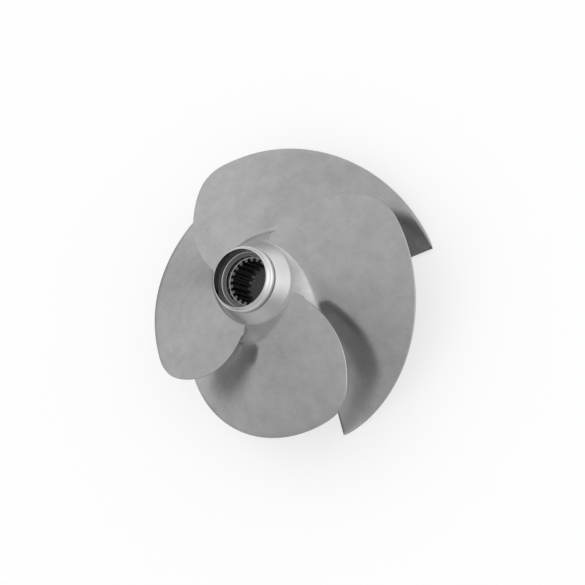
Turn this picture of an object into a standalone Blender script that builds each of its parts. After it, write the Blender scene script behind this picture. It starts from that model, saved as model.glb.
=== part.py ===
"""Jet pump impeller: a one-piece stainless casting with a machined nose, a splined bore and four swirl blades.

The axis of rotation is +Z with the nose up. The origin is on the axis at the rear face of the hub, where the
impeller rests when it is stood on a table. Lengths in the tables below are millimetres; "depth" is measured
back along the axis from the crest of the nose, and "swirl" is the angle in degrees behind a blade's root at
its leading edge, turning clockwise as seen from the nose.
"""
import math

import bmesh
import bpy
import numpy as np

MM = 0.001

HEIGHT = 78.8
TIP_RADIUS = 80.0
BLADES = 4
HUB_SEGMENTS = 72
SWIRL_STEP = 360.0 / HUB_SEGMENTS
SPAN_STEPS = 4

# Hub: a trumpet that opens quickly behind the neck and then runs nearly straight to the rear face.
HUB_FRONT_DEPTH = 17.2
HUB_FRONT_RADIUS = 22.3
HUB_REAR_RADIUS = 38.5
HUB_FLARE_POWER = 4.2
HUB_RINGS = 9
HUB_RING_CROWDING = 1.5
SLOPE_STEP = 0.01

# Machined nose, (depth, radius): chamfered lip, step, land, ring groove, cone and neck.
NOSE_PROFILE = [
    (0.0, 15.8),
    (2.5, 16.95),
    (2.55, 17.6),
    (2.8, 17.85),
    (5.8, 17.95),
    (6.0, 17.2),
    (6.8, 17.2),
    (7.0, 17.8),
    (7.5, 18.35),
    (15.1, 22.55),
    (15.5, 22.4),
    (15.8, 21.4),
    (17.0, 21.4),
]

SPLINE_TEETH = 22
SPLINE_ROOT_RADIUS = 12.7
SPLINE_TIP_RADIUS = 11.1
BROACH_OVERLAP = 0.6
SPLINE_FRONT_DEPTH = 11.4
SPLINE_REAR_DEPTH = 36.2
SPACE_AT_TIP = 0.64
SPACE_AT_ROOT = 0.36
SPLINE_PHASE = -1.2

# Bore, (depth, radius): counterbore, shoulder, lead-in, spline tips and plain rear bore.
BORE_PROFILE = [
    (0.2, 15.7),
    (8.1, 15.7),
    (8.6, 14.3),
    (8.9, 13.15),
    (12.15, 13.1),
    (12.7, SPLINE_TIP_RADIUS),
    (34.2, SPLINE_TIP_RADIUS),
    (36.6, 13.6),
    (75.8, 13.6),
    (76.8, 14.6),
]

# Rear cavity, (depth, radius), from the end of the central boss round to the rear rim.
BOSS_RADIUS = 19.5
BOSS_DEPTH = 76.8
BOSS_FOOT = 3.0
CAVITY_FLOOR_DEPTH = 46.8
CAVITY_CORNER = 6.0
WALL = 5.5

# Blade, by swirl angle: outline radius (leading edge, then the tip), outline depth and root depth.
TRAILING_DEPTH = 77.2
LAST_SWIRL = 160.0
RAKE_FROM_SWIRL = 10.0
OUTLINE_RADIUS = [
    (0.0, 22.3),
    (5.0, 32.3),
    (15.0, 48.7),
    (30.0, 68.0),
    (40.0, 77.4),
    (46.0, 79.7),
    (50.0, 80.0),
]
OUTLINE_DEPTH = [(0.0, 18.2), (20.0, 28.0), (45.0, 37.8), (75.0, 46.5), (110.0, 60.2), (147.5, 77.2)]
ROOT_DEPTH = [
    (0.0, 18.0),
    (35.0, 19.1),
    (60.0, 21.9),
    (85.0, 27.9),
    (110.0, 42.0),
    (130.0, 61.0),
    (147.5, 77.2),
]
ROOT_THICKNESS = 4.0
TIP_THICKNESS = 2.6
RIM_THICKNESS = 1.3
RIM_TAPER = 0.13
ROOT_SINK = 2.6
RIM_SETBACK = 0.8
FIRST_RING_SINK = 5.0

# Fillets between blade and hub. The front one fills the valley up to the neck: its radius is a share of the
# way from the neck back to the root, up to a largest radius. The back one grows to its full radius by a swirl
# angle. A fillet's place on the hub is found by halving a search between two depths either side of the root.
FRONT_FILLET_SHARE = 0.9
FRONT_FILLET = 12.0
BACK_FILLET = 4.0
BACK_FILLET_SWIRL = 20.0
LEAST_FILLET = 0.8
FILLET_STEPS = 3
SEARCH_NEAR = 8.0
SEARCH_FAR = 30.0
SEARCH_HALVINGS = 40


def clear_scene():
    for obj in list(bpy.data.objects):
        bpy.data.objects.remove(obj)


def slopes(xs, ys):
    """Tangents for a smooth curve through the points, one-sided at the two ends."""
    steps = np.diff(ys) / np.diff(xs)
    inner = (steps[:-1] * np.diff(xs)[1:] + steps[1:] * np.diff(xs)[:-1]) / (xs[2:] - xs[:-2])
    return np.concatenate([[steps[0]], inner, [steps[-1]]])


def along(points, x):
    """The value at x on a smooth curve through the points, running on straight past both ends."""
    xs, ys = np.array(points).T
    tangents = slopes(xs, ys)
    if x <= xs[0]:
        return ys[0] + tangents[0] * (x - xs[0])
    if x >= xs[-1]:
        return ys[-1] + tangents[-1] * (x - xs[-1])
    i = int(np.searchsorted(xs, x)) - 1
    width = xs[i + 1] - xs[i]
    t = (x - xs[i]) / width
    value = ys[i] * (1 + 2 * t) * (1 - t) ** 2 + ys[i + 1] * t * t * (3 - 2 * t)
    return value + width * (tangents[i] * t * (1 - t) ** 2 - tangents[i + 1] * t * t * (1 - t))


def hub_radius(depth):
    share = (depth - HUB_FRONT_DEPTH) / (HEIGHT - HUB_FRONT_DEPTH)
    return HUB_REAR_RADIUS - (HUB_REAR_RADIUS - HUB_FRONT_RADIUS) * max(1 - share, 0) ** HUB_FLARE_POWER


def outline_radius(swirl):
    return TIP_RADIUS if swirl >= OUTLINE_RADIUS[-1][0] else along(OUTLINE_RADIUS, swirl)


def root_point(swirl):
    depth = along(ROOT_DEPTH, swirl)
    return np.array([hub_radius(depth), depth])


def rake(swirl):
    """How far the front face leans back, as depth gained for each millimetre of radius."""
    swirl = max(swirl, RAKE_FROM_SWIRL)
    root = root_point(swirl)
    return (along(OUTLINE_DEPTH, swirl) - root[1]) / (outline_radius(swirl) - root[0])


def face_depth(swirl, radius):
    """Depth of a blade's front face, which runs straight out from its root on the hub."""
    root = root_point(swirl)
    return root[1] + rake(swirl) * (radius - root[0])


def axial_thickness(swirl, radius):
    """The blade's thickness measured along the axis, from its real thickness and the slope of its face."""
    share = (radius - HUB_FRONT_RADIUS) / (TIP_RADIUS - HUB_FRONT_RADIUS)
    thickness = ROOT_THICKNESS + (TIP_THICKNESS - ROOT_THICKNESS) * share
    to_rim = max(outline_radius(swirl) - radius, 0)
    thickness = min(thickness, RIM_THICKNESS + RIM_TAPER * to_rim)
    step = SWIRL_STEP / 2
    around = face_depth(swirl + step, radius) - face_depth(swirl - step, radius)
    around /= 2 * radius * math.radians(step)
    return thickness * math.sqrt(1 + around**2 + rake(swirl) ** 2)


def hub_normal(depth):
    """The hub surface's outward normal in the half plane, as (radius, depth)."""
    slope = (hub_radius(depth + SLOPE_STEP) - hub_radius(depth - SLOPE_STEP)) / (2 * SLOPE_STEP)
    return np.array([1, -slope]) / math.hypot(1, slope)


def fillet(swirl, side, radius, offset):
    """The arc between the hub and one face of a blade: side is -1 in front of the face and 1 behind it."""
    slope = rake(swirl)
    anchor = root_point(swirl) + np.array([0, offset])
    normal = np.array([-slope, 1]) * side / math.hypot(1, slope)
    near = anchor[1] - SEARCH_NEAR * side
    far = anchor[1] + SEARCH_FAR * side
    for _ in range(SEARCH_HALVINGS):
        depth = 0.5 * (near + far)
        centre = np.array([hub_radius(depth), depth]) + radius * hub_normal(depth)
        if (centre - anchor) @ normal < radius:
            near = depth
        else:
            far = depth
    start = np.array([hub_radius(depth), depth])
    end = centre - radius * normal
    first = math.atan2(*(start - centre)[::-1])
    turn = math.remainder(math.atan2(*(end - centre)[::-1]) - first, 2 * math.pi)
    angles = [first + turn * i / FILLET_STEPS for i in range(FILLET_STEPS + 1)]
    return [centre + radius * np.array([math.cos(angle), math.sin(angle)]) for angle in angles]


def front_fillet_radius(swirl):
    behind_neck = root_point(swirl)[1] - HUB_FRONT_DEPTH
    return min(max(FRONT_FILLET_SHARE * behind_neck, LEAST_FILLET), FRONT_FILLET)


def back_fillet_radius(swirl):
    return max(LEAST_FILLET, BACK_FILLET * min(swirl / BACK_FILLET_SWIRL, 1))


def blade_section(swirl):
    """The blade's outline in the half plane at one swirl angle, as (radius, depth), front face first."""
    rim_radius = outline_radius(swirl)
    root = root_point(swirl)
    back_gap = axial_thickness(swirl, root[0])
    front = fillet(swirl, -1, front_fillet_radius(swirl), 0.0)
    back = fillet(swirl, 1, back_fillet_radius(swirl), back_gap)
    sink = np.array([ROOT_SINK, 0])
    inner = [front[0] - sink]
    outer = [back[0] - sink]
    edge_radius = max(rim_radius - RIM_SETBACK, front[-1][0] + RIM_SETBACK, back[-1][0] + RIM_SETBACK)
    for i in range(1, SPAN_STEPS + 1):
        share = i / SPAN_STEPS
        ahead = front[FILLET_STEPS][0] + (edge_radius - front[FILLET_STEPS][0]) * share
        behind = back[FILLET_STEPS][0] + (edge_radius - back[FILLET_STEPS][0]) * share
        front.append(np.array([ahead, face_depth(swirl, ahead)]))
        back.append(np.array([behind, face_depth(swirl, behind) + axial_thickness(swirl, behind)]))
    nose = np.array([edge_radius + RIM_SETBACK, 0.5 * (front[-1][1] + back[-1][1])])
    section = inner + front + [nose] + back[::-1] + outer
    if swirl > 0:
        return section
    return [point - np.array([FIRST_RING_SINK, 0]) for point in section]


def place(radius, angle, depth):
    return (
        radius * math.cos(angle) * MM,
        radius * math.sin(angle) * MM,
        (HEIGHT - depth) * MM,
    )


def mesh_object(name, bm, hidden):
    bmesh.ops.recalc_face_normals(bm, faces=bm.faces[:])
    mesh = bpy.data.meshes.new(name)
    bm.to_mesh(mesh)
    bm.free()
    obj = bpy.data.objects.new(name, mesh)
    bpy.context.scene.collection.objects.link(obj)
    if hidden:
        obj.hide_render = True
        obj.display_type = "WIRE"
    return obj


def revolve(name, profile, segments):
    """A ring-shaped solid from a closed (depth, radius) profile."""
    bm = bmesh.new()
    rings = [
        [bm.verts.new(place(radius, 2 * math.pi * i / segments, depth)) for depth, radius in profile]
        for i in range(segments)
    ]
    for i in range(segments):
        here = rings[i]
        after = rings[(i + 1) % segments]
        for j in range(len(profile)):
            k = (j + 1) % len(profile)
            bm.faces.new((here[j], after[j], after[k], here[k]))
    return mesh_object(name, bm, hidden=False)


def hub_profile():
    shares = [(i / HUB_RINGS) ** HUB_RING_CROWDING for i in range(HUB_RINGS + 1)]
    depths = [HUB_FRONT_DEPTH + (HEIGHT - HUB_FRONT_DEPTH) * share for share in shares]
    outside = [(depth, hub_radius(depth)) for depth in depths]
    corner_depth = CAVITY_FLOOR_DEPTH + CAVITY_CORNER
    cavity = [
        (HEIGHT, HUB_REAR_RADIUS - WALL),
        (corner_depth, hub_radius(corner_depth) - WALL),
        (CAVITY_FLOOR_DEPTH, hub_radius(CAVITY_FLOOR_DEPTH) - 2 * WALL),
        (CAVITY_FLOOR_DEPTH, BOSS_RADIUS + BOSS_FOOT),
        (CAVITY_FLOOR_DEPTH + BOSS_FOOT, BOSS_RADIUS),
        (BOSS_DEPTH, BOSS_RADIUS),
    ]
    return NOSE_PROFILE + outside + cavity + BORE_PROFILE[::-1]


def blade_form(name, angle):
    """One blade as a closed solid whose root reaches into the hub, cut flat at its trailing edge."""
    bm = bmesh.new()
    rings = []
    for i in range(round(LAST_SWIRL / SWIRL_STEP) + 1):
        swirl = i * SWIRL_STEP
        turn = angle - math.radians(swirl)
        rings.append([bm.verts.new(place(radius, turn, depth)) for radius, depth in blade_section(swirl)])
    for here, after in zip(rings, rings[1:]):
        for j in range(len(here)):
            k = (j + 1) % len(here)
            bm.faces.new((here[j], here[k], after[k], after[j]))
    bm.faces.new(rings[0])
    bm.faces.new(rings[-1])
    cut = bmesh.ops.bisect_plane(
        bm,
        geom=bm.verts[:] + bm.edges[:] + bm.faces[:],
        plane_co=(0, 0, (HEIGHT - TRAILING_DEPTH) * MM),
        plane_no=(0, 0, -1),
        clear_outer=True,
    )
    edges = [item for item in cut["geom_cut"] if isinstance(item, bmesh.types.BMEdge)]
    bmesh.ops.contextual_create(bm, geom=edges)
    bmesh.ops.triangulate(bm, faces=bm.faces[:])
    return mesh_object(name, bm, hidden=True)


def spline_broach():
    """The cutter for the tooth spaces of the spline, a star-shaped prism on the axis."""
    bm = bmesh.new()
    pitch = 2 * math.pi / SPLINE_TEETH
    inner = SPLINE_TIP_RADIUS - BROACH_OVERLAP
    outline = []
    for tooth in range(SPLINE_TEETH):
        middle = math.radians(SPLINE_PHASE) + tooth * pitch
        tip = 0.5 * SPACE_AT_TIP * pitch
        root = 0.5 * SPACE_AT_ROOT * pitch
        outline += [
            (inner, middle - tip),
            (SPLINE_ROOT_RADIUS, middle - root),
            (SPLINE_ROOT_RADIUS, middle + root),
            (inner, middle + tip),
        ]
    ends = [
        [bm.verts.new(place(radius, angle, depth)) for radius, angle in outline]
        for depth in (SPLINE_FRONT_DEPTH, SPLINE_REAR_DEPTH)
    ]
    for j in range(len(outline)):
        k = (j + 1) % len(outline)
        bm.faces.new((ends[0][j], ends[0][k], ends[1][k], ends[1][j]))
    bm.faces.new(ends[0])
    bm.faces.new(ends[1])
    return mesh_object("spline_broach", bm, hidden=True)


def boolean(target, other, operation):
    modifier = target.modifiers.new(other.name, "BOOLEAN")
    modifier.operation = operation
    modifier.object = other
    modifier.solver = "EXACT"


def cast_steel():
    material = bpy.data.materials.new("cast_stainless")
    material.use_nodes = True
    shader = material.node_tree.nodes["Principled BSDF"]
    shader.inputs["Base Color"].default_value = (0.56, 0.55, 0.54, 1)
    shader.inputs["Metallic"].default_value = 1.0
    shader.inputs["Roughness"].default_value = 0.5
    return material


def main():
    clear_scene()
    casting = revolve("impeller_casting", hub_profile(), HUB_SEGMENTS)
    for i in range(BLADES):
        blade = blade_form(f"blade_form_{i + 1}", 2 * math.pi * i / BLADES)
        boolean(casting, blade, "UNION")
    boolean(casting, spline_broach(), "DIFFERENCE")
    casting.data.materials.append(cast_steel())
    casting.data.shade_smooth()
    casting.data.set_sharp_from_angle(angle=math.radians(35))


main()
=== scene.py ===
"""Jet pump impeller on a pale studio floor, seen from the photograph's angle.

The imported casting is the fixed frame. One finely made casting stands for it: a turned nose, a flared
hollow hub, a splined bore and four swirl blades with soft fillets. Lengths in the tables are
millimetres. "Depth" is measured back along the axis from the crest of the nose, and "swirl" is the
angle in degrees behind a blade's root at its leading edge, turning clockwise as seen from the nose.
"""
import math

import bmesh
import bpy
import numpy as np
from mathutils import Matrix, Vector


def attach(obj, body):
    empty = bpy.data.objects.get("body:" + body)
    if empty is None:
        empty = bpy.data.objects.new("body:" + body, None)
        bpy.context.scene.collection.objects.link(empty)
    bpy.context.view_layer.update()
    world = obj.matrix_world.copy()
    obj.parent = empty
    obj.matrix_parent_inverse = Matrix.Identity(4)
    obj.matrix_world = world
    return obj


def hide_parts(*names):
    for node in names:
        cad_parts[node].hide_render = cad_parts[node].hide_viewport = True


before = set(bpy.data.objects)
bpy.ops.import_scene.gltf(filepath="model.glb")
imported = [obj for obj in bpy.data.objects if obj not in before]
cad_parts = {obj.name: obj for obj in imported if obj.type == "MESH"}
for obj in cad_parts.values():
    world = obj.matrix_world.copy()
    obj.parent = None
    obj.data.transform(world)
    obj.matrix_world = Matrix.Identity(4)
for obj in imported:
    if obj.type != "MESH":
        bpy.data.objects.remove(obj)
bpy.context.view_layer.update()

MM = 0.001

HEIGHT = 78.8
TIP_RADIUS = 80.0
BLADES = 4

# The camera, from the axis's lean and the blades' tips in the photograph. It sees the point of the axis
# at the height AXIS_POINT, in millimetres, at AXIS_PIXEL. Angles are degrees; CLIP_START is in metres.
IMAGE_WIDTH = 585.0
AXIS_LEAN = 31.1
AXIS_BEARING = 18.08
BLADE_TURN = 168.6
AXIS_POINT = 78.0
AXIS_PIXEL = (240.3, 278.2)
PIXELS_PER_MM = 1.88953
CAMERA_DISTANCE = 1278.98
SENSOR_WIDTH = 36.0
CLIP_START = 0.05

# Turned nose, (depth, radius, corner radius), from the opening back to the neck.
NOSE = [
    (0.0, 15.8, 0.15),
    (0.3, 16.4, 0.4),
    (2.5, 16.95, 0.1),
    (2.55, 17.4, 0.1),
    (3.9, 17.92, 0.8),
    (5.9, 17.95, 0.3),
    (6.05, 17.2, 0.15),
    (6.8, 17.2, 0.15),
    (7.0, 18.05, 0.6),
    (15.3, 22.62, 0.35),
    (15.7, 21.5, 0.3),
    (16.7, 21.2, 0.6),
]

# The crown in front of the groove is polished, its lighter grey a painted highlight, and the groove's floor
# is painted dark as shade, like the bore.
CROWN_END_DEPTH = 6.0
GROOVE_END_DEPTH = 6.85

# Hub: a trumpet that opens quickly behind the neck and then runs nearly straight to the rear face.
# Its rings of faces crowd towards the neck by a power.
HUB_FRONT_DEPTH = 17.2
HUB_FRONT_RADIUS = 22.3
HUB_REAR_RADIUS = 38.5
HUB_FLARE_POWER = 4.2
HUB_RINGS = 38
HUB_RING_CROWDING = 1.3
REAR_EDGE = 0.4
REAR_EDGE_ROUNDING = 0.3

# Rear cavity and the boss in it, (depth, radius, corner radius), from the rear rim to the bore's end.
CAVITY = [
    (78.8, 33.0, 0.5),
    (52.8, 32.5, 7.0),
    (46.8, 26.4, 3.0),
    (46.8, 19.5, 3.0),
    (76.8, 19.5, 0.4),
    (76.8, 14.6, 0.1),
    (75.8, 13.6, 0.1),
    (36.7, 13.6, 0.1),
]

# Bore from its rear step to the opening, (depth, radius, corner radius).
BORE = [
    (34.4, 11.1, 0.05),
    (12.7, 11.15, 0.05),
    (12.15, 13.1, 0.4),
    (9.05, 13.15, 0.2),
    (8.75, 14.2, 0.1),
    (8.55, 14.3, 0.1),
    (8.2, 15.68, 0.9),
    (0.2, 15.7, 0.1),
]

# Depths in the bore painted dark as shade, on the broached spline and past it, and thin bands at edges
# painted bright as glints. The rest is bored steel, its grey a little darker than turned steel as painted
# shade.
SHADED_BORE_DEPTHS = [(8.3, 11.7), (12.3, 33.7), (37.0, 78.8)]
# Thin bands at the bore's edges painted bright as glints.
PAINTED_GLINT_DEPTHS = [(7.75, 8.3), (11.7, 12.3), (33.7, 37.0)]
LONGEST_BORE_FACE = 2.0

# A corner takes at most this share of the line on either side of it.
LARGEST_CORNER_SHARE = 0.48
CORNER_STEPS = 4

# Spline: the tooth spaces' widths are shares of the pitch, and the phase is an angle in degrees.
SPLINE_TEETH = 22
SPLINE_ROOT_RADIUS = 12.7
SPLINE_TIP_RADIUS = 11.1
SPACE_AT_TIP = 0.66
SPACE_AT_ROOT = 0.3
SPLINE_ROUNDING = 0.8
SPLINE_PHASE = -1.2
COLUMNS_PER_TOOTH = 16

# Blade, by swirl angle: outline radius (leading edge, then the tip), outline depth and root depth.
TRAILING_DEPTH = 77.2
LAST_SWIRL = 152.5
RAKE_FROM_SWIRL = 10.0
OUTLINE_RADIUS = [
    (0.0, 22.3),
    (5.0, 32.3),
    (15.0, 48.7),
    (30.0, 68.0),
    (40.0, 77.4),
    (46.0, 79.7),
    (50.0, 80.0),
]
OUTLINE_DEPTH = [
    (0.0, 18.2),
    (20.0, 28.0),
    (45.0, 37.8),
    (75.0, 46.5),
    (110.0, 60.2),
    (147.5, 77.2),
]
ROOT_DEPTH = [
    (0.0, 18.0),
    (35.0, 19.1),
    (60.0, 21.9),
    (85.0, 27.9),
    (110.0, 42.0),
    (130.0, 61.0),
    (147.5, 77.2),
]

# Blade thickness at the hub, at the tips' radius and at the rim, and what the rim gains for each
# millimetre inwards.
ROOT_THICKNESS = 4.0
TIP_THICKNESS = 2.6
RIM_THICKNESS = 1.3
RIM_TAPER = 0.13

# A blade's foot goes this far into the hub, and its first section is pushed in further to hide its end.
ROOT_SINK = 2.6
FIRST_RING_SINK = 5.0

# The faces end this far inside the outline at the leading edge and at the tip. The change from one to
# the other starts at TIP_FROM_SWIRL and takes TIP_BLEND_SWIRL. A rim's power of 1 is a half round, and
# less is flatter. The rim is turned from TURNED_FROM_SWIRL on.
EDGE_SETBACK = 0.9
TIP_SETBACK = 0.25
TIP_FROM_SWIRL = 34.0
TIP_BLEND_SWIRL = 12.0
LEAST_FACE = 0.3
LEAST_BULGE = 0.2
RIM_POWER = 0.7
TURNED_FROM_SWIRL = 45.0

SWIRL_STEP = 1.25
SPAN_STEPS = 16
RIM_STEPS = 6
SLOPE_STEP = 0.01
SHARP_ANGLE = 32.0

# Fillets between blade and hub. The front one fills the valley up to the neck: its radius is a share of
# the way from the neck back to the root, up to a largest radius. The back one grows to its full radius
# by a swirl angle. A reach of 1 is an arc, and more runs out further along the blade's face.
FRONT_FILLET_SHARE = 0.9
FRONT_FILLET = 12.0
BACK_FILLET = 4.0
BACK_FILLET_SWIRL = 20.0
LEAST_FILLET = 0.8
FRONT_REACH = 1.8
BACK_REACH = 1.0
FILLET_STEPS = 12

# A fillet's place on the hub is found by halving, from SEARCH_NEAR on one side of the blade's face to
# SEARCH_FAR on the other.
SEARCH_NEAR = 8.0
SEARCH_FAR = 30.0
SEARCH_HALVINGS = 40

# The metals: name, darkest and lightest grey, lowest and highest roughness, and scale and height of
# the grain.
METALS = [
    ("blasted_cast_steel", 0.48, 0.61, 0.20, 0.26, 900.0, 0.014),
    ("turned_steel", 0.63, 0.67, 0.18, 0.24, 1500.0, 0.003),
    # Bored steel: its grey is set darker than the turned steel's as painted shade in the bore.
    ("bored_steel_shaded", 0.42, 0.48, 0.11, 0.15, 1200.0, 0.002),
    # A dark grey painted as the shade in the bore and in the groove, not a finish of the steel.
    ("painted_shade_steel", 0.15, 0.19, 0.24, 0.30, 1200.0, 0.003),
    # Polished steel: its low roughness is real, and its lighter grey is a painted highlight on the crown and
    # painted glints in the bore.
    ("polished_steel_and_glint", 0.80, 0.86, 0.11, 0.16, 1500.0, 0.002),
]

# Rows of the table of metals.
CAST = 0
TURNED = 1
BORED_SHADED = 2
PAINTED_SHADE = 3
POLISHED_AND_GLINT = 4

# Noise in the metals as (scale, detail, roughness). The grey mixes patches with specks by the two shares,
# and noise between NOISE_LOW and NOISE_HIGH spans a metal's whole range.
PATCH_NOISE = (110.0, 5.0, 0.65)
PATCH_SHARE = 0.7
SPECK_NOISE = (1400.0, 2.0, 0.5)
SPECK_SHARE = 0.3
POLISH_NOISE = (140.0, 3.0, 0.5)
GRAIN_DETAIL = 5.0
GRAIN_ROUGHNESS = 0.65
NOISE_LOW = 0.3
NOISE_HIGH = 0.7

# Studio light. A patch is (bearing, height, power, strength, where); angles in degrees, where bearing 0
# is to the picture's right and 90 is up it. A patch can lie on the tent only, under its edge only, or on
# both. TENT_EDGE is the sine of a height.
TENT_LEVEL = 0.62
UNDER_LEVEL = 0.17
TENT_EDGE = 0.10
SKY_PATCHES = [
    (9.0, -19.0, 4.0, 1.02, "both"),
    (270.0, 6.0, 2.0, -0.19, "tent"),
    (270.0, 6.0, 2.0, 0.45, "under"),
    (235.0, 4.0, 14.0, -0.14, "tent"),
    (123.0, 36.0, 2.0, 0.18, "both"),
    (85.0, 38.0, 8.0, -0.14, "tent"),
    (66.0, -6.0, 8.0, 0.68, "both"),
    (115.0, -10.0, 6.0, 0.27, "under"),
    (0.0, -90.0, 2.0, 0.20, "under"),
]
SKY_COLOUR = (1.0, 0.995, 1.0, 1.0)

# The floor, with its radius in metres, and the dimmer disc on it inside the cavity, in millimetres, whose
# weaker glow paints the shade under the part.
FLOOR_RADIUS = 60.0
FLOOR_SEGMENTS = 96
FLOOR_COLOUR = (0.6, 0.6, 0.6, 1.0)
FLOOR_ROUGHNESS = 0.95
FLOOR_SPECULAR = 0.1
FLOOR_GLOW = 0.6
CAVITY_FLOOR_RADIUS = 32.0
CAVITY_FLOOR_LIFT = 0.05
# The disc glows far less than the floor: painted shade under the part.
CAVITY_SHADE_GLOW = 0.06


def slopes(xs, ys):
    """Tangents for a smooth curve through the points, one-sided at the two ends."""
    steps = np.diff(ys) / np.diff(xs)
    inner = (steps[:-1] * np.diff(xs)[1:] + steps[1:] * np.diff(xs)[:-1]) / (xs[2:] - xs[:-2])
    return np.concatenate([[steps[0]], inner, [steps[-1]]])


def along(points, x):
    """The value at x on a smooth curve through the points, running on straight past both ends."""
    xs, ys = np.array(points).T
    tangents = slopes(xs, ys)
    if x <= xs[0]:
        return ys[0] + tangents[0] * (x - xs[0])
    if x >= xs[-1]:
        return ys[-1] + tangents[-1] * (x - xs[-1])
    i = int(np.searchsorted(xs, x)) - 1
    width = xs[i + 1] - xs[i]
    t = (x - xs[i]) / width
    value = ys[i] * (1 + 2 * t) * (1 - t) ** 2 + ys[i + 1] * t * t * (3 - 2 * t)
    return value + width * (tangents[i] * t * (1 - t) ** 2 - tangents[i + 1] * t * t * (1 - t))


def hub_radius(depth):
    share = (depth - HUB_FRONT_DEPTH) / (HEIGHT - HUB_FRONT_DEPTH)
    flare = max(1 - share, 0) ** HUB_FLARE_POWER
    return HUB_REAR_RADIUS - (HUB_REAR_RADIUS - HUB_FRONT_RADIUS) * flare


def outline_radius(swirl):
    return TIP_RADIUS if swirl >= OUTLINE_RADIUS[-1][0] else along(OUTLINE_RADIUS, swirl)


def root_point(swirl):
    """Where the front face meets the hub, as (radius, depth)."""
    depth = along(ROOT_DEPTH, swirl)
    return np.array([hub_radius(depth), depth])


def rake(swirl):
    """How far the front face leans back, as depth gained for each millimetre of radius."""
    swirl = max(swirl, RAKE_FROM_SWIRL)
    root = root_point(swirl)
    return (along(OUTLINE_DEPTH, swirl) - root[1]) / (outline_radius(swirl) - root[0])


def face_depth(swirl, radius):
    """Depth of a blade's front face, which runs straight out from its root on the hub."""
    root = root_point(swirl)
    return root[1] + rake(swirl) * (radius - root[0])


def axial_thickness(swirl, radius):
    """The blade's thickness measured along the axis, from its real thickness and the slope of its face."""
    share = (radius - HUB_FRONT_RADIUS) / (TIP_RADIUS - HUB_FRONT_RADIUS)
    thickness = ROOT_THICKNESS + (TIP_THICKNESS - ROOT_THICKNESS) * share
    to_rim = np.maximum(outline_radius(swirl) - radius, 0)
    thickness = np.minimum(thickness, RIM_THICKNESS + RIM_TAPER * to_rim)
    around = face_depth(swirl + SWIRL_STEP, radius) - face_depth(swirl - SWIRL_STEP, radius)
    around /= 2 * radius * math.radians(SWIRL_STEP)
    return thickness * np.sqrt(1 + around**2 + rake(swirl) ** 2)


def hub_normal(depth):
    """The hub surface's outward normal in the half plane, as (radius, depth)."""
    slope = (hub_radius(depth + SLOPE_STEP) - hub_radius(depth - SLOPE_STEP)) / (2 * SLOPE_STEP)
    return np.array([1, -slope]) / math.hypot(1, slope)


def fillet(swirl, side, radius, offset, reach):
    """The curve between the hub and one face of a blade: side is -1 in front of the face and 1 behind it.

    It is an arc where reach is 1, and runs out further along the face where reach is more.
    """
    slope = rake(swirl)
    anchor = root_point(swirl) + np.array([0, offset])
    normal = np.array([-slope, 1]) * side / math.hypot(1, slope)
    near = anchor[1] - SEARCH_NEAR * side
    far = anchor[1] + SEARCH_FAR * side
    for _ in range(SEARCH_HALVINGS):
        depth = 0.5 * (near + far)
        centre = np.array([hub_radius(depth), depth]) + radius * hub_normal(depth)
        if (centre - anchor) @ normal < radius:
            near = depth
        else:
            far = depth
    start = np.array([hub_radius(depth), depth])
    end = centre - radius * normal
    cosine = float((start - centre) @ (end - centre)) / radius**2
    corner = centre + (start + end - 2 * centre) / (1 + cosine)
    end = corner + (end - corner) * reach
    t = np.arange(FILLET_STEPS + 1)[:, None] / FILLET_STEPS
    first = (1 - t) ** 2
    middle = 2 * t * (1 - t) * math.sqrt((1 + cosine) / 2)
    last = t**2
    return (first * start + middle * corner + last * end) / (first + middle + last)


def front_fillet_radius(swirl):
    behind_neck = root_point(swirl)[1] - HUB_FRONT_DEPTH
    return min(max(FRONT_FILLET_SHARE * behind_neck, LEAST_FILLET), FRONT_FILLET)


def back_fillet_radius(swirl):
    return max(LEAST_FILLET, BACK_FILLET * min(swirl / BACK_FILLET_SWIRL, 1))


def rim_arc(front_end, back_end, bulge):
    """Points round the rim from the front face to the back face, a flattened half round."""
    middle = 0.5 * (front_end + back_end)
    half = 0.5 * (front_end - back_end)
    angles = np.pi * np.arange(1, RIM_STEPS) / RIM_STEPS
    out = np.array([bulge, 0.0])
    return [middle + half * math.cos(a) + out * math.sin(a) ** RIM_POWER for a in angles]


def blade_section(swirl):
    """The blade's outline in the half plane at one swirl angle, as (radius, depth), front face first."""
    rim_radius = outline_radius(swirl)
    root = root_point(swirl)
    back_gap = axial_thickness(swirl, root[0])
    front = fillet(swirl, -1, front_fillet_radius(swirl), 0.0, FRONT_REACH)
    back = fillet(swirl, 1, back_fillet_radius(swirl), back_gap, BACK_REACH)
    at_tip = min(max((swirl - TIP_FROM_SWIRL) / TIP_BLEND_SWIRL, 0.0), 1.0)
    setback = EDGE_SETBACK + (TIP_SETBACK - EDGE_SETBACK) * at_tip
    edge_radius = max(rim_radius - setback, front[-1][0] + LEAST_FACE, back[-1][0] + LEAST_FACE)
    shares = np.arange(1, SPAN_STEPS + 1) / SPAN_STEPS
    ahead = front[-1][0] + (edge_radius - front[-1][0]) * shares
    behind = back[-1][0] + (edge_radius - back[-1][0]) * shares
    front_face = np.stack([ahead, face_depth(swirl, ahead)], axis=1)
    back_face = np.stack([behind, face_depth(swirl, behind) + axial_thickness(swirl, behind)], axis=1)
    rim = rim_arc(front_face[-1], back_face[-1], max(rim_radius - edge_radius, LEAST_BULGE))
    sink = np.array([ROOT_SINK, 0])
    section = np.concatenate(
        [[front[0] - sink], front, front_face, rim, back_face[::-1], back[::-1], [back[0] - sink]]
    )
    if swirl > 0:
        return section
    return section - np.array([FIRST_RING_SINK, 0])


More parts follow.
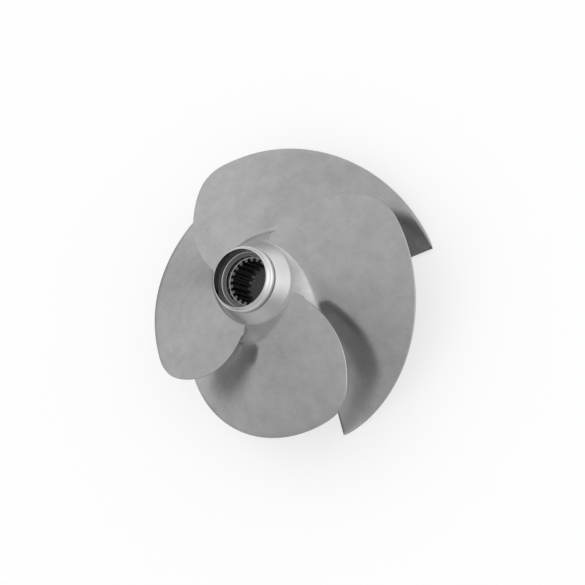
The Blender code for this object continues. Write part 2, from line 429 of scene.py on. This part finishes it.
def rounded(corners):
    """A (depth, radius) line through the corners, each of them rounded by about its own radius."""
    points = [np.array(corners[0][:2])]
    for before, here, after in zip(corners, corners[1:], corners[2:]):
        corner = np.array(here[:2])
        back = np.array(before[:2]) - corner
        onward = np.array(after[:2]) - corner
        back_length = np.linalg.norm(back)
        onward_length = np.linalg.norm(onward)
        back = back / back_length
        onward = onward / onward_length
        half = 0.5 * math.acos(max(-1.0, min(1.0, float(back @ onward))))
        reach = min(here[2] / math.tan(half), LARGEST_CORNER_SHARE * min(back_length, onward_length))
        start = corner + back * reach
        end = corner + onward * reach
        for i in range(CORNER_STEPS + 1):
            t = i / CORNER_STEPS
            points.append(start * (1 - t) ** 2 + corner * 2 * t * (1 - t) + end * t * t)
    points.append(np.array(corners[-1][:2]))
    return points


def hub_outside():
    shares = (np.arange(HUB_RINGS + 1) / HUB_RINGS) ** HUB_RING_CROWDING
    depths = HUB_FRONT_DEPTH + (HEIGHT - REAR_EDGE - HUB_FRONT_DEPTH) * shares
    return [np.array([depth, hub_radius(depth)]) for depth in depths]


def rear_side():
    """The rear edge, the cavity and the outside of the boss, down to the end of the bore."""
    edge_start = (HEIGHT - REAR_EDGE, HUB_REAR_RADIUS, 0.0)
    edge_end = (HEIGHT, HUB_REAR_RADIUS - REAR_EDGE, REAR_EDGE_ROUNDING)
    return rounded([edge_start, edge_end] + CAVITY)


def spread(line, longest):
    """The same line with its long stretches cut into shorter ones."""
    out = [line[0]]
    for a, b in zip(line, line[1:]):
        count = max(1, math.ceil(np.linalg.norm(b - a) / longest))
        out += [a + (b - a) * (i + 1) / count for i in range(count)]
    return out


def tooth_radius(angle):
    """The spline's surface radius at each angle: tips, sloping flanks and roots."""
    pitch = 2 * math.pi / SPLINE_TEETH
    from_space = np.abs((angle - math.radians(SPLINE_PHASE) + pitch / 2) % pitch - pitch / 2)
    at_root = 0.5 * SPACE_AT_ROOT * pitch
    at_tip = 0.5 * SPACE_AT_TIP * pitch
    share = np.clip((from_space - at_root) / (at_tip - at_root), 0, 1)
    share = share + SPLINE_ROUNDING * (share * share * (3 - 2 * share) - share)
    return SPLINE_ROOT_RADIUS + (SPLINE_TIP_RADIUS - SPLINE_ROOT_RADIUS) * share


def nose_kind(depth):
    """The material of the nose's outside at a depth."""
    # The crown is polished with a painted highlight; the groove's floor is painted in shade.
    if depth < CROWN_END_DEPTH:
        return POLISHED_AND_GLINT
    return PAINTED_SHADE if depth < GROOVE_END_DEPTH else TURNED


def bore_kind(depth):
    """The material of the bore at a depth."""
    # Thin bands get painted glints, the spline and past it painted shade, the rest bored steel with a little
    # painted shade.
    if any(low < depth < high for low, high in PAINTED_GLINT_DEPTHS):
        return POLISHED_AND_GLINT
    return PAINTED_SHADE if any(low < depth < high for low, high in SHADED_BORE_DEPTHS) else BORED_SHADED


def lathe():
    """The nose, hub, rear cavity and bore as one closed ring: points, faces and a material for each face."""
    columns = SPLINE_TEETH * COLUMNS_PER_TOOTH
    angles = 2 * np.pi * np.arange(columns) / columns + math.radians(SPLINE_PHASE)
    nose = rounded(NOSE)
    hub = hub_outside()
    rear = rear_side()
    bore = spread(rounded([CAVITY[-1]] + BORE + [NOSE[0]]), LONGEST_BORE_FACE)
    line = nose + hub + rear[1:] + bore[:-1]
    kinds = [nose_kind(depth) for depth, _ in nose]
    kinds += [CAST] * (len(hub) + len(rear) - 1)
    kinds += [bore_kind(depth) for depth, _ in bore[:-1]]
    teeth = tooth_radius(angles)
    rings = []
    for depth, radius in line:
        radii = np.full(columns, radius)
        if radius < SPLINE_ROOT_RADIUS:
            radii = np.maximum(radii, teeth)
        heights = np.full(columns, HEIGHT - depth)
        rings.append(np.stack([radii * np.cos(angles), radii * np.sin(angles), heights], axis=1))
    points = np.concatenate(rings) * MM
    faces = []
    materials = []
    for i in range(len(line)):
        here = i * columns
        there = ((i + 1) % len(line)) * columns
        for j in range(columns):
            k = (j + 1) % columns
            faces.append((here + j, here + k, there + k, there + j))
            materials.append(kinds[i])
    return points, faces, materials


def blade(sections, angle):
    """One blade from its sections: points, faces and a material for each face."""
    count = sections.shape[1]
    turns = angle - np.radians(np.arange(len(sections)) * SWIRL_STEP)[:, None]
    radii = sections[:, :, 0]
    heights = HEIGHT - sections[:, :, 1]
    points = np.stack([radii * np.cos(turns), radii * np.sin(turns), heights], axis=2)
    points = points.reshape(-1, 3) * MM
    faces = []
    materials = []
    rim_first = 1 + FILLET_STEPS + SPAN_STEPS
    for i in range(len(sections) - 1):
        here = i * count
        there = here + count
        on_tip = i * SWIRL_STEP > TURNED_FROM_SWIRL
        for j in range(count):
            k = (j + 1) % count
            faces.append((here + j, here + k, there + k, there + j))
            on_rim = rim_first <= j < rim_first + RIM_STEPS
            materials.append(TURNED if on_rim and on_tip else CAST)
    faces.append(tuple(range(count))[::-1])
    faces.append(tuple((len(sections) - 1) * count + j for j in range(count)))
    materials += [CAST, CAST]
    return points, faces, materials


def cut_flat(shell):
    """Cuts the blade off square at its trailing edge and closes it."""
    cut = bmesh.ops.bisect_plane(
        shell,
        geom=shell.verts[:] + shell.edges[:] + shell.faces[:],
        plane_co=(0, 0, (HEIGHT - TRAILING_DEPTH) * MM),
        plane_no=(0, 0, -1),
        clear_outer=True,
    )
    edges = [item for item in cut["geom_cut"] if isinstance(item, bmesh.types.BMEdge)]
    made = bmesh.ops.contextual_create(shell, geom=edges)
    for face in made["faces"]:
        face.material_index = TURNED


def shell_mesh(name, shells):
    """One mesh from several closed shells, each (points, faces, materials, needs a flat cut)."""
    whole = bmesh.new()
    for points, faces, materials, cut in shells:
        mesh = bpy.data.meshes.new(name)
        mesh.from_pydata(points.tolist(), [], faces)
        mesh.polygons.foreach_set("material_index", materials)
        shell = bmesh.new()
        shell.from_mesh(mesh)
        if cut:
            cut_flat(shell)
        bmesh.ops.recalc_face_normals(shell, faces=shell.faces[:])
        shell.to_mesh(mesh)
        shell.free()
        whole.from_mesh(mesh)
        bpy.data.meshes.remove(mesh)
    mesh = bpy.data.meshes.new(name)
    whole.to_mesh(mesh)
    whole.free()
    return mesh


def node(tree, kind, **settings):
    made = tree.nodes.new(kind)
    for key, value in settings.items():
        setattr(made, key, value)
    return made


def arithmetic(tree, operation, first, second):
    """A maths node's result for two values, each a number or another node's output."""
    made = node(tree, "ShaderNodeMath", operation=operation)
    for socket, value in zip(made.inputs, (first, second)):
        if isinstance(value, (int, float)):
            socket.default_value = value
        else:
            tree.links.new(value, socket)
    return made.outputs[0]


def noise(tree, place, scale, detail, roughness):
    made = node(tree, "ShaderNodeTexNoise")
    made.inputs["Scale"].default_value = scale
    made.inputs["Detail"].default_value = detail
    made.inputs["Roughness"].default_value = roughness
    tree.links.new(place.outputs["Object"], made.inputs["Vector"])
    return made.outputs["Fac"]


def noise_range(tree, value, low, high):
    """The noise stretched so that it runs from the low value to the high one."""
    made = node(tree, "ShaderNodeMapRange")
    made.inputs["From Min"].default_value = NOISE_LOW
    made.inputs["From Max"].default_value = NOISE_HIGH
    made.inputs["To Min"].default_value = low
    made.inputs["To Max"].default_value = high
    tree.links.new(value, made.inputs["Value"])
    return made.outputs["Result"]


def grey_range(tree, value, dark, light):
    """The noise as a grey that runs from dark to light."""
    made = node(tree, "ShaderNodeValToRGB")
    low, high = made.color_ramp.elements
    low.position = NOISE_LOW
    low.color = (dark, dark, dark, 1)
    high.position = NOISE_HIGH
    high.color = (light, light, light, 1)
    tree.links.new(value, made.inputs["Fac"])
    return made.outputs["Color"]


def steel(name, dark, light, least_rough, most_rough, grain, grain_height):
    """Stainless steel with soft mottling, uneven roughness and a fine blasted grain."""
    material = bpy.data.materials.new(name)
    material.use_nodes = True
    tree = material.node_tree
    shader = tree.nodes["Principled BSDF"]
    shader.inputs["Metallic"].default_value = 1.0
    place = node(tree, "ShaderNodeTexCoord")
    patches = arithmetic(tree, "MULTIPLY", noise(tree, place, *PATCH_NOISE), PATCH_SHARE)
    specks = arithmetic(tree, "MULTIPLY", noise(tree, place, *SPECK_NOISE), SPECK_SHARE)
    mottling = arithmetic(tree, "ADD", patches, specks)
    tree.links.new(grey_range(tree, mottling, dark, light), shader.inputs["Base Color"])
    polish = noise(tree, place, *POLISH_NOISE)
    tree.links.new(noise_range(tree, polish, least_rough, most_rough), shader.inputs["Roughness"])
    bump = node(tree, "ShaderNodeBump")
    bump.inputs["Strength"].default_value = 1.0
    bump.inputs["Distance"].default_value = grain_height * MM
    tree.links.new(noise(tree, place, grain, GRAIN_DETAIL, GRAIN_ROUGHNESS), bump.inputs["Height"])
    tree.links.new(bump.outputs["Normal"], shader.inputs["Normal"])
    return material


def make_casting():
    sections = np.array([blade_section(i * SWIRL_STEP) for i in range(round(LAST_SWIRL / SWIRL_STEP) + 1)])
    shells = [(*lathe(), False)]
    for i in range(BLADES):
        shells.append((*blade(sections, 2 * math.pi * i / BLADES), True))
    mesh = shell_mesh("impeller_fine_casting", shells)
    mesh.shade_smooth()
    mesh.set_sharp_from_angle(angle=math.radians(SHARP_ANGLE))
    for metal in METALS:
        mesh.materials.append(steel(*metal))
    casting = bpy.data.objects.new("impeller_fine_casting", mesh)
    bpy.context.scene.collection.objects.link(casting)
    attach(casting, "root")
    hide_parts("impeller_casting")


def camera_axes():
    """The camera's right, up and backward directions, as rows in the part's frame."""
    lean, bearing, turn = (math.radians(a) for a in (AXIS_LEAN, AXIS_BEARING, BLADE_TURN))
    tilt = math.sin(lean)
    axis = np.array([-tilt * math.cos(bearing), tilt * math.sin(bearing), math.cos(lean)])
    across = np.cross([0, 1, 0], axis)
    across /= np.linalg.norm(across)
    upward = np.cross(axis, across)
    part_x = math.cos(turn) * across + math.sin(turn) * upward
    part_y = -math.sin(turn) * across + math.cos(turn) * upward
    return np.array([part_x, part_y, axis]).T


def make_camera():
    axes = camera_axes()
    data = bpy.data.cameras.new("photo_camera")
    data.sensor_width = SENSOR_WIDTH
    data.lens = PIXELS_PER_MM * CAMERA_DISTANCE * SENSOR_WIDTH / IMAGE_WIDTH
    data.shift_x = (IMAGE_WIDTH / 2 - AXIS_PIXEL[0]) / IMAGE_WIDTH
    data.shift_y = (AXIS_PIXEL[1] - IMAGE_WIDTH / 2) / IMAGE_WIDTH
    data.clip_start = CLIP_START
    camera = bpy.data.objects.new("photo_camera", data)
    place = Matrix([list(row) for row in axes.T]).to_4x4()
    place.translation = Vector((0, 0, AXIS_POINT * MM)) + Vector(axes[2]) * CAMERA_DISTANCE * MM
    camera.matrix_world = place
    bpy.context.scene.collection.objects.link(camera)
    bpy.context.scene.camera = camera


def sky_direction(bearing, height):
    """A direction in the part's frame: bearing 0 is to the picture's right and 90 is up it."""
    turn = math.radians(bearing - BLADE_TURN)
    level = math.cos(math.radians(height))
    return (level * math.cos(turn), level * math.sin(turn), math.sin(math.radians(height)))


def smooth_rise(tree, value, low, high):
    made = node(tree, "ShaderNodeMapRange", interpolation_type="SMOOTHSTEP")
    made.inputs["From Min"].default_value = low
    made.inputs["From Max"].default_value = high
    tree.links.new(value, made.inputs["Value"])
    return made.outputs["Result"]


def make_sky():
    """An even light tent over a darker studio, with a few broad patches of the tent brighter or dimmer."""
    world = bpy.data.worlds.new("studio")
    world.use_nodes = True
    tree = world.node_tree
    place = node(tree, "ShaderNodeTexCoord")
    split = node(tree, "ShaderNodeSeparateXYZ")
    tree.links.new(place.outputs["Generated"], split.inputs[0])
    tent = smooth_rise(tree, split.outputs["Z"], -TENT_EDGE, TENT_EDGE)
    under = arithmetic(tree, "SUBTRACT", 1.0, tent)
    tent_light = arithmetic(tree, "MULTIPLY", tent, TENT_LEVEL)
    under_light = arithmetic(tree, "MULTIPLY", under, UNDER_LEVEL)
    level = arithmetic(tree, "ADD", tent_light, under_light)
    for bearing, height, power, strength, where in SKY_PATCHES:
        aim = node(tree, "ShaderNodeVectorMath", operation="DOT_PRODUCT")
        aim.inputs[1].default_value = sky_direction(bearing, height)
        tree.links.new(place.outputs["Generated"], aim.inputs[0])
        facing = arithmetic(tree, "MAXIMUM", aim.outputs["Value"], 0.0)
        patch = arithmetic(tree, "MULTIPLY", arithmetic(tree, "POWER", facing, power), strength)
        if where != "both":
            patch = arithmetic(tree, "MULTIPLY", patch, tent if where == "tent" else under)
        level = arithmetic(tree, "ADD", level, patch)
    tree.links.new(level, tree.nodes["Background"].inputs["Strength"])
    tree.nodes["Background"].inputs["Color"].default_value = SKY_COLOUR
    bpy.context.scene.world = world


def disc(name, radius, height, glow):
    """A flat pale disc that belongs to the stage."""
    circle = bmesh.new()
    bmesh.ops.create_circle(circle, cap_ends=True, segments=FLOOR_SEGMENTS, radius=radius)
    mesh = bpy.data.meshes.new(name)
    circle.to_mesh(mesh)
    circle.free()
    material = bpy.data.materials.new(name)
    material.use_nodes = True
    shader = material.node_tree.nodes["Principled BSDF"]
    shader.inputs["Base Color"].default_value = FLOOR_COLOUR
    shader.inputs["Roughness"].default_value = FLOOR_ROUGHNESS
    shader.inputs["Specular IOR Level"].default_value = FLOOR_SPECULAR
    shader.inputs["Emission Color"].default_value = (1, 1, 1, 1)
    shader.inputs["Emission Strength"].default_value = glow
    mesh.materials.append(material)
    made = bpy.data.objects.new(name, mesh)
    made.location.z = height
    bpy.context.scene.collection.objects.link(made)
    return made


def make_floor():
    """A wide pale floor that glows and stays out of reflections, and a dimmer disc in the cavity that paints
    the shade under the part.
    """
    floor = disc("studio_floor", FLOOR_RADIUS, 0.0, FLOOR_GLOW)
    floor.visible_glossy = False
    disc("shaded_floor_in_cavity", CAVITY_FLOOR_RADIUS * MM, CAVITY_FLOOR_LIFT * MM, CAVITY_SHADE_GLOW)


make_floor()
make_casting()
make_camera()
make_sky()
bpy.context.scene.view_settings.view_transform = "Standard"
